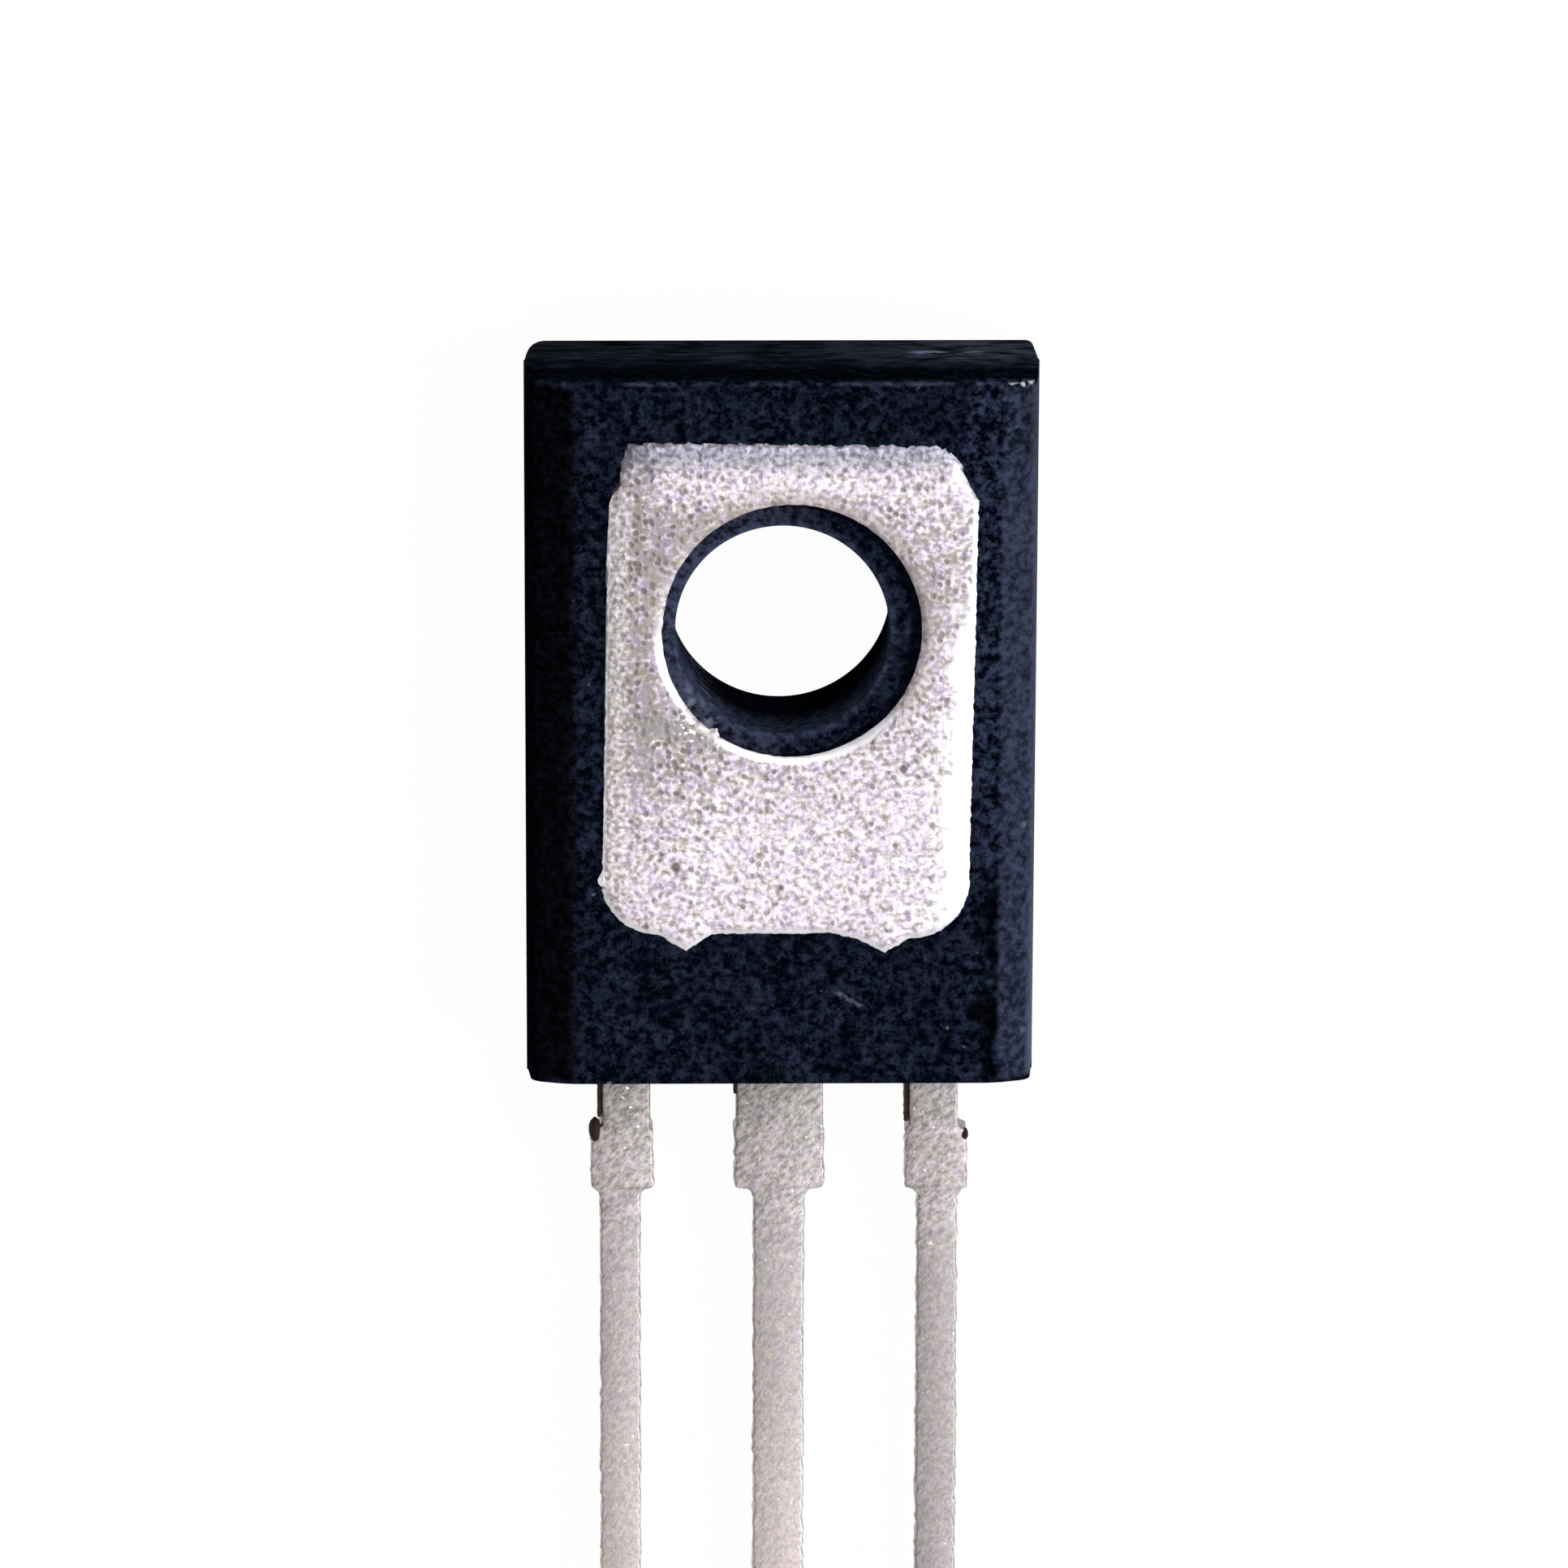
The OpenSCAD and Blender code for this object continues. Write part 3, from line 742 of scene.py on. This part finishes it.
def makeBody():
    piece = addBlock("mouldedBody", (-sideX, wallY, plainZ), (sideX, endY, faceZ))
    ridge = [partingZ - body["ridgeHalf"], partingZ, partingZ + body["ridgeHalf"]]
    levels = [plainZ, *ridge, -body["bevelDeep"], faceZ]
    for z in levels[1:-1]:
        cutAt(piece, (0, 0, z), (0, 0, 1))
    for z in levels:
        half, low, high = bodyLevel(z)
        grow = body["ridgeHigh"] if near(z, partingZ) else 0
        stretch(piece, lambda p: near(p.z, z), ((half + grow) / sideX, 1, 1))
        shift(piece, lambda p: near(p.z, z) and p.y > 0, (0, high + grow - endY, 0))
        shift(piece, lambda p: near(p.z, z) and p.y < 0, (0, low - grow - wallY, 0))

    stretch(piece, lambda p: p.y < 0, (body["taper"], 1, 1))

    def faceSide(a, b):
        return near(a.z, faceZ) and near(b.z, faceZ) and abs(a.y - b.y) > 1

    def bevelOuter(a, b):
        return near(a.z, -body["bevelDeep"]) and near(b.z, -body["bevelDeep"]) and abs(a.y - b.y) > 1
    roundEdges(piece, faceSide, body["bevelInnerRound"], 4)
    roundEdges(piece, bevelOuter, body["bevelOuterRound"], 4)

    def endFrame(a, b):
        # the edges up one corner of an end wall, across the metal face and down the other corner
        upright = abs(a.z - b.z) > hair and a.x * b.x > 0
        across = near(a.z, faceZ) and near(b.z, faceZ)
        return a.y * b.y > 0 and (upright or across)
    roundEdges(piece, endFrame, body["cornerRound"], 5)

    half, low, high = bodyLevel(plainZ)
    for sideways, end in ((-1, low), (1, low), (-1, high), (1, high)):
        grow = body["plainCorner"][sideways] / body["cornerRound"]
        narrow = body["taper"] if end < 0 else 1
        stretch(piece, lambda p: near(p.z, plainZ) and p.x * sideways > 0 and p.y * end > 0, (grow, grow, 1),
                about=(sideways * half * narrow, end, plainZ))
    roundEdges(piece, lambda a, b: near(a.z, plainZ) and near(b.z, plainZ), body["plainRound"], 4)
    carve(piece, boreCutter())
    carve(piece, pocketCutter())
    for block in leadSlots():
        carve(piece, block)
    tidyMesh(piece)
    mergeIn(piece, flashStrips())
    return piece


def boreCutter():
    # straight on the metal side, drafted out to the plain face, with a rounded mouth at each end
    over, past = 0.4, 0.004  # the rod's run past the faces, and the mouths'
    radius = body["boreRadius"]
    slope = math.tan(math.radians(body["boreDraft"]))
    rod = addRod("boreCutter", radius, plainZ - over, over)
    steps = 5
    profile = {partingZ: radius}
    for mouth, z, way in ((body["mouthRound"], faceZ, 1), (body["plainMouthRound"], plainZ, -1)):
        wall = radius if way > 0 else radius + (partingZ - plainZ) * slope
        for step in range(steps + 1):
            turn = math.radians(90 * step / steps)
            level = z + way * past - way * mouth * (1 - math.sin(turn))
            profile[level] = wall + mouth * (1 - math.cos(turn))
    for z in sorted(profile):
        cutAt(rod, (0, 0, z), (0, 0, 1))
    for z, r in profile.items():
        stretch(rod, lambda p: near(p.z, z), (r / radius, r / radius, 1))
    for z, r in ((over, radius + body["mouthRound"]), (plainZ - over, profile[min(profile)])):
        stretch(rod, lambda p: near(p.z, z), (r / radius, r / radius, 1))
    return rod


def pocketCutter():
    # the recess that the tab fills, with the ring of resin left round the bore
    plate = layTabSheet("pocketCutter", -body["pocketShrink"])
    thicken(plate, -body["pocketDeep"], body["pocketDeep"])
    ringRadius = tabPlan["holeRadius"] + body["pocketShrink"]
    carve(plate, addRod("ringKeeper", ringRadius, -1, 1, tabPlan["holeSides"], tabPlan["holeShift"]))
    seatTab(plate)
    return plate


def leadSlots():
    # the leads leave through openings of their own size
    slots = []
    for centre, left, right in rootSpans:
        low = (centre + left, wallY - body["slotOut"], leadFloor)
        high = (centre + right, wallY + body["slotIn"], leadTop)
        slots.append(addBlock("leadSlot", low, high))
    return slots


flash = {
    "wide": 0.055, "midWide": 0.04, "long": 0.77, "rightLong": 0.85, "midLong": 0.41, "rough": 0.012,
    # clear of the lead's two faces, run into the wall, longest edge, and where the rough and the brown begin
    "overFloor": 0.02, "underTop": 0.01, "inWall": 0.2, "step": 0.1, "roughFrom": 0.05, "brownFrom": 0.06,
    # resin lumps at the dam-bar stubs: middle and half sizes; sunk is a share of the half height
    "lumps": [((-2.775, -0.99), (0.095, 0.205, 0.12)), ((2.80, -1.06), (0.055, 0.095, 0.08))], "sunk": 0.6,
}


def flashStrips():
    # thin resin left on the leads' left sides, and the lumps at the dam-bar stubs
    strips = []
    spans = [(rootSpans[0][0] + rootSpans[0][1], flash["wide"], flash["long"]),
             (rootSpans[1][1], flash["midWide"], flash["midLong"]),
             (rootSpans[2][0] + rootSpans[2][1], flash["wide"], flash["rightLong"])]
    for number, (edge, wide, length) in enumerate(spans):
        low = (edge - wide, wallY - length, leadFloor + flash["overFloor"])
        high = (edge, wallY + flash["inWall"], leadTop - flash["underTop"])
        strip = addBlock("flash", low, high)
        shorten(strip, flash["step"], lambda a, b: True)
        roughen(strip, lambda p: p.y < wallY - flash["roughFrom"], flash["rough"], 20 + number)
        tidyMesh(strip)
        strips.append(strip)
    for number, ((x, y), sizes) in enumerate(flash["lumps"]):
        bpy.ops.object.select_all(action="DESELECT")
        bpy.ops.mesh.primitive_uv_sphere_add(segments=16, ring_count=10, radius=1,
                                             location=(x, wallY + y, leadTop - sizes[2] * flash["sunk"]))
        bpy.context.object.scale = sizes
        bpy.ops.object.transform_apply(location=True, rotation=True, scale=True)
        lump = named("lump")
        roughen(lump, lambda p: True, flash["rough"], 30 + number)
        tidyMesh(lump, 60)
        strips.append(lump)
    return strips


# Stamped leads

lead = {
    "pitch": 2.39, "width": 0.6, "midWidth": 0.76, "rootLong": 1.89, "damStart": 0.91, "slant": 0.09,
    # under the dam-bar stubs the edge runs in to the lead with a small fillet: distance down and out
    "foot": [(0.03, 0.07), (0.08, 0.03), (0.17, 0.0)],
    "rootIn": 0.45, "rootOut": 0.29, "damIn": 0.49, "damOut": 0.44, "midRoot": 1.29, "midDam": 1.35,
    "postStart": 0.95, "postIn": 0.75, "postOut": 0.55, "stepAngle": 50.0, "neckFlat": 0.35,
    "edgeRound": 0.04, "edgeAngle": 50.0,
    "raggedStep": 0.07, "ragged": 0.08, "raggedSize": 0.10, "raggedIn": 0.3,
    # the neck from the tab to the middle lead: half width, and how far it runs under the tab
    "neckHalf": 1.0, "neckUnder": 0.9,
    "platedFrom": 1,  # inside the end wall, where the tab's finish gives way to the leads'
}
leadX = (-lead["pitch"], 0.0, lead["pitch"])
rootSpans = [(leadX[0], -lead["rootOut"], lead["rootIn"]),
             (leadX[1], -lead["midRoot"] / 2, lead["midRoot"] / 2),
             (leadX[2], -lead["rootIn"], lead["rootOut"])]
tipY = leadLow.y


def outsideLevels(rootLeft, rootRight, damLeft, damRight, half):
    # places along a lead outside the body, with its left and right edges
    return [(wallY - lead["damStart"], rootLeft, rootRight),
            (wallY - lead["damStart"] - lead["slant"], damLeft, damRight),
            (wallY - lead["rootLong"], damLeft, damRight),
            *[(wallY - lead["rootLong"] - down, -half - out, half + out) for down, out in lead["foot"]],
            (tipY, -half, half)]


def makeLead(name, centre, levels, heights):
    # a bar cut across at each level, with its edges and then its heights moved into place
    first, last = levels[0][0], levels[-1][0]
    blank = 0.5  # half width before the edges are moved
    bar = addBlock(name, (-blank, last, leadFloor), (blank, first, leadTop))
    for y, _, _ in levels[1:-1]:
        cutAt(bar, (0, y, 0), (0, 1, 0))
    for y, left, right in levels:
        shift(bar, lambda p: near(p.y, y) and near(p.x, -blank), (left + blank, 0, 0))
        shift(bar, lambda p: near(p.y, y) and near(p.x, blank), (right - blank, 0, 0))
    for y, rise, lean in heights:
        shift(bar, lambda p: near(p.y, y) and p.z < leadTop - hair, (0, lean, rise))
        shift(bar, lambda p: near(p.y, y) and near(p.z, leadTop), (0, 0, rise))

    def along(a, b):
        return max(a.y, b.y) < wallY + hair and abs(a.y - b.y) > lead["raggedStep"]
    shorten(bar, lead["raggedStep"], along)
    pickAll(bar)
    bpy.ops.transform.translate(value=(centre, 0, 0))
    objectMode()

    def shown(p):
        return last + hair < p.y < wallY + lead["raggedIn"]
    wobble(bar, shown, lead["ragged"], lead["raggedSize"], "X")
    useModifier(bar, "BEVEL", width=lead["edgeRound"], segments=3, limit_method="ANGLE",
                angle_limit=math.radians(lead["edgeAngle"]))
    return bar


def makeOuterLead(name, side):
    def edges(inward, outward):
        return (-inward, outward) if side > 0 else (-outward, inward)
    root, dam = edges(lead["rootIn"], lead["rootOut"]), edges(lead["damIn"], lead["damOut"])
    post = edges(lead["postIn"], lead["postOut"])
    postFoot = wallY + lead["postStart"]
    inside = [(leadHigh.y, *post), (postFoot, *post), (postFoot - lead["slant"], *root)]
    levels = inside + outsideLevels(*root, *dam, lead["width"] / 2)
    piece = makeLead(name, side * lead["pitch"], levels, [])
    tidyMesh(piece)
    return piece


# Tab, neck and middle lead, one stamped piece

tabLook = {
    "margin": 0.05, "plate": 0.5, "step": 0.07,
    # die-rolled edge, from the rim inward: width and rise of each band
    "roll": [(0.04, 0.06), (0.05, 0.035), (0.06, 0.018), (0.07, 0.007)],
    # how far in from the outline the edges are split, the roll is eased and the edge is ragged
    "splitReach": 0.95, "lowSplitReach": 1.0, "rollReach": 0.3, "raggedReach": 0.2, "raggedLow": 0.9,
    # how much of the roll stays on the left, at the top and round the hole, which is rolled at its lower left
    "leftShare": 0.15, "leftSpan": (-4, 2.2), "leftDraw": 0.08, "topShare": 0.5,
    "holeShare": 0.25, "holeTurn": 235.0, "holeSpread": 50.0, "holeWiden": 0.02, "holeWedge": 10,
    "raggedTop": 0.13, "raggedSide": 0.05, "raggedHole": 0.02, "raggedSize": 0.08,
    # where the edge leaves the plan: place, offset and reach
    "nudges": [((-2.28, 2.79), (-0.14, -0.02), 0.3), ((-2.66, 2.12), (0.09, 0.0), 0.3),
               ((-2.50, 2.50), (-0.06, 0.02), 0.26), ((2.30, 2.79), (-0.11, -0.02), 0.3),
               ((-2.75, -3.86), (-0.07, 0.0), 0.14), ((2.75, -3.86), (0.02, 0.0), 0.12),
               ((-2.75, 2.02), (-0.04, -0.02), 0.12), ((-2.75, 1.0), (-0.03, 0.0), 0.12),
               ((-1.10, -1.60), (0.05, 0.09), 0.09)],
}


def makeTab():
    # the exposed plate with its hole and rolled edge; its top lies at height 0
    plate = layTabSheet("anodeFrame", tabLook["margin"])
    half, low = tabPlan["width"] / 2, tabPlan["low"]
    rise = sum(band[1] for band in tabLook["roll"])
    thicken(plate, -tabLook["plate"], -rise)
    holeRadius = tabPlan["holeRadius"]
    cutRadius = holeRadius - tabLook["margin"]
    carve(plate, addRod("tabHole", cutRadius, -1, 1, tabPlan["holeSides"], tabPlan["holeShift"]))
    pick(plate, "FACE", lambda c, n: n.z > 0.9)
    for wide, step in tabLook["roll"]:
        bpy.ops.mesh.inset(thickness=wide, depth=step, use_even_offset=True, use_boundary=True)
    objectMode()

    def onRoll(p):
        return p.z > -rise - hair

    def rolled(a, b):
        level = near(a.z, b.z) and onRoll(a)
        onSide = min(abs(a.x), abs(b.x)) > half - tabLook["splitReach"] and a.x * b.x > 0
        onTop = min(a.y, b.y) > tabPlan["up"] - tabLook["splitReach"]
        onLow = max(a.y, b.y) < -low + tabLook["lowSplitReach"]
        return level and (onSide or onTop or onLow)
    shorten(plate, tabLook["step"], rolled)

    def onLeft(p):
        bottom, top = tabLook["leftSpan"]
        return onRoll(p) and p.x < -half + tabLook["rollReach"] and bottom < p.y < top

    def onTopRoll(p):
        return onRoll(p) and p.y > tabPlan["up"] - tabLook["rollReach"]
    stretch(plate, onLeft, (1, 1, tabLook["leftShare"]))
    shift(plate, onLeft, (tabLook["leftDraw"], 0, 0))
    stretch(plate, onTopRoll, (1, 1, tabLook["topShare"]))
    wedge = tabLook["holeWedge"]
    for start in range(0, 360, wedge):
        def inWedge(p):
            turn = math.degrees(math.atan2(p.y, p.x)) % 360
            byHole = p.xy.length < holeRadius + tabLook["rollReach"]
            return onRoll(p) and byHole and start <= turn < start + wedge
        away = (start + wedge / 2 - tabLook["holeTurn"]) / tabLook["holeSpread"]
        share = tabLook["holeShare"] + (1 - tabLook["holeShare"]) * math.exp(-away * away)
        widen = 1 + tabLook["holeWiden"] * (1 - share)
        stretch(plate, inWedge, (widen, widen, share))
    for place, offset, reach in tabLook["nudges"]:
        nudge(plate, place, offset, reach)

    def atTop(p):
        return p.y > tabPlan["up"] - tabLook["raggedReach"]

    def atSides(p):
        outer = abs(p.x) > half - tabLook["raggedReach"]
        return not atTop(p) and (outer or p.y < -low + tabLook["raggedLow"])

    def atHole(p):
        return p.xy.length < holeRadius + tabLook["raggedReach"]
    for test, amount in ((atTop, "raggedTop"), (atSides, "raggedSide"), (atHole, "raggedHole")):
        wobble(plate, test, tabLook[amount], tabLook["raggedSize"])
    seatTab(plate)
    return plate, rise


def makeStem(rise):
    # the neck that dives from under the tab to the lead's level, and the middle lead
    bend = tabPlan["lowEdge"][2][1]
    start = bend + lead["neckUnder"]
    run = body["partingDepth"] / math.tan(math.radians(lead["stepAngle"]))
    lean = (leadTop - leadFloor) * math.tan(math.radians(lead["stepAngle"] / 2))
    neckEnd = bend - run - lead["neckFlat"]
    neck = (-lead["neckHalf"], lead["neckHalf"])
    root = (-lead["midRoot"] / 2, lead["midRoot"] / 2)
    dam = (-lead["midDam"] / 2, lead["midDam"] / 2)
    inside = [(start, *neck), (bend, *neck), (bend - run, *neck), (neckEnd, *neck),
              (neckEnd - lead["slant"], *root)]
    levels = inside + outsideLevels(*root, *dam, lead["midWidth"] / 2)
    deep = body["partingDepth"] - rise
    return makeLead("stem", 0, levels, [(start, deep, 0), (bend, deep, lean), (bend - run, 0, lean)])


def makeAnodeFrame():
    plate, rise = makeTab()
    carve(plate, makeStem(rise), "UNION")
    tidyMesh(plate)
    return plate


def everywhere(centre, normal):
    return True


def leadwards(inside):
    # the faces on the leads' side of a line this far inside the end wall
    return lambda centre, normal: centre.y < wallY + inside


bodyPiece = makeBody()
coat(bodyPiece, [(resinFinish, everywhere), (flashFinish, leadwards(-flash["brownFrom"]))])
hand(bodyPiece, "epoxy_moulding", "moulded_body")
anodePiece = makeAnodeFrame()
coat(anodePiece, [(tabFinish, everywhere), (leadFinish, leadwards(lead["platedFrom"]))])
hand(anodePiece, "tinned_copper", "anode_frame")
for name, side, node in (("gateLead", -1, "gate_lead"), ("cathodeLead", 1, "cathode_lead")):
    outerPiece = makeOuterLead(name, side)
    coat(outerPiece, [(leadFinish, everywhere)])
    hand(outerPiece, "tinned_copper", node)

innerFinishes = {"silicon_die": siliconFinish, "die_solder": solderFinish,
                 "cathode_wire": wireFinish, "gate_wire": wireFinish}
for node, finish in innerFinishes.items():
    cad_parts[node].data.materials.clear()
    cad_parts[node].data.materials.append(finish)
print("inner pieces finished")


# Camera at the photograph's angle: looking down on the metal face, from past the plain end

view = {"tilt": 15.6, "turn": 1.2, "roll": 0.14, "aim": (-0.0233, 2.2582), "away": 175.1,
        "focal": 14587.0, "frameWide": 1932.0, "sensor": 36.0}


def makeCamera():
    data = bpy.data.cameras.new("camera")
    data.sensor_fit = "HORIZONTAL"
    data.sensor_width = view["sensor"]
    data.lens = view["focal"] / view["frameWide"] * view["sensor"]
    data.clip_start = 0.01
    turn = Matrix.Identity(3)
    for angle, axis in (("roll", "Z"), ("turn", "Y"), ("tilt", "X")):
        turn = turn @ Matrix.Rotation(math.radians(view[angle]), 3, axis)
    back = turn.transposed()
    place = -(back @ Vector((*view["aim"], -view["away"]))) * mm
    camera = bpy.data.objects.new("camera", data)
    camera.matrix_world = Matrix.Translation(place) @ back.to_4x4()
    bpy.context.scene.collection.objects.link(camera)
    bpy.context.scene.camera = camera


# Floor, lamps and world

studio = {"floorWide": 4.0, "wallHigh": 0.25, "floorWhite": 0.9, "whiteShare": 0.97,
          "worldLeft": 0.32, "worldRight": 0.6, "worldFront": 0.5}
lamps = [
    {"name": "overhead", "from": (0.06, -0.12, 0.40), "size": (0.26, 0.24),
     "radiance": 1.3, "tint": (1, 0.98, 0.98)},
    {"name": "right", "from": (0.31, -0.07, 0.25), "size": (0.16, 0.24),
     "radiance": 8.0, "tint": (0.84, 0.94, 1)},
    {"name": "back", "from": (0.11, 0.15, 0.34), "size": (0.26, 0.2),
     "radiance": 3.6, "tint": (1, 1, 1)},
]


def makeFloor():
    # a round floor with an upright white surround
    objectMode()
    bpy.ops.object.select_all(action="DESELECT")
    bpy.ops.mesh.primitive_cylinder_add(vertices=96, radius=studio["floorWide"] / 2, depth=studio["wallHigh"],
                                        location=(0, 0, cadLow.z + studio["wallHigh"] / 2))
    bpy.ops.object.transform_apply(location=True, rotation=True, scale=True)
    floor = named("floor")
    pick(floor, "FACE", lambda c, n: n.z > 0.9)
    bpy.ops.mesh.delete(type="FACE")
    bpy.ops.mesh.select_all(action="SELECT")
    bpy.ops.mesh.flip_normals()
    objectMode()
    material = bpy.data.materials.new("white floor")
    material.use_nodes = True
    tree = material.node_tree
    tree.nodes.clear()
    start = Flow(tree)
    paint = start.node("ShaderNodeBsdfDiffuse", {}, {"Color": rgb(*[studio["floorWhite"]] * 3)})
    glow = start.node("ShaderNodeEmission", {}, {"Color": rgb(1, 1, 1), "Strength": 1.0})
    share = whiteRays(start) * studio["whiteShare"]
    mixed = start.node("ShaderNodeMixShader", {}, {0: share, 1: paint, 2: glow})
    start.node("ShaderNodeOutputMaterial", {}, {"Surface": mixed}, out=None)
    floor.data.materials.append(material)


def whiteRays(start):
    # 1 for rays that show the background: from the camera, in a mirror or through glass
    path = start.tree.nodes.new("ShaderNodeLightPath")
    rays = [Flow(start.tree, path.outputs[name]) for name in
            ("Is Camera Ray", "Is Glossy Ray", "Is Transmission Ray")]
    return rays[0].either(rays[1]).either(rays[2])


def makeWorld():
    # dim on the left, brighter on the right and in front
    world = bpy.data.worlds.new("studio")
    bpy.context.scene.world = world
    world.use_nodes = True
    tree = world.node_tree
    tree.nodes.clear()
    start = Flow(tree)
    towards = start.node("ShaderNodeTexCoord", out=0)
    across = start.node("ShaderNodeSeparateXYZ", {}, {0: towards})
    forward = start.node("ShaderNodeSeparateXYZ", {}, {0: towards}, out=1)
    level = studio["worldLeft"] + (studio["worldRight"] - studio["worldLeft"]) * across.between(-0.3, 1.0)
    level = level + studio["worldFront"] * (1 - forward.between(-0.9, -0.3))
    light = start.node("ShaderNodeBackground", {}, {"Color": rgb(1, 1, 1), "Strength": level})
    start.node("ShaderNodeOutputWorld", {}, {"Surface": light}, out=None)


def makeLamps():
    for setting in lamps:
        data = bpy.data.lights.new(setting["name"], "AREA")
        data.shape = "RECTANGLE"
        data.size, data.size_y = setting["size"]
        data.color = setting["tint"]
        data.energy = setting["radiance"] * math.pi * data.size * data.size_y
        lamp = bpy.data.objects.new(setting["name"], data)
        lamp.location = setting["from"]
        lamp.rotation_euler = (-Vector(setting["from"])).to_track_quat("-Z", "Y").to_euler()
        lamp.visible_camera = False
        bpy.context.scene.collection.objects.link(lamp)


makeCamera()
makeFloor()
makeWorld()
makeLamps()
bpy.context.scene.view_settings.view_transform = "Standard"
print("camera, floor and lamps placed")
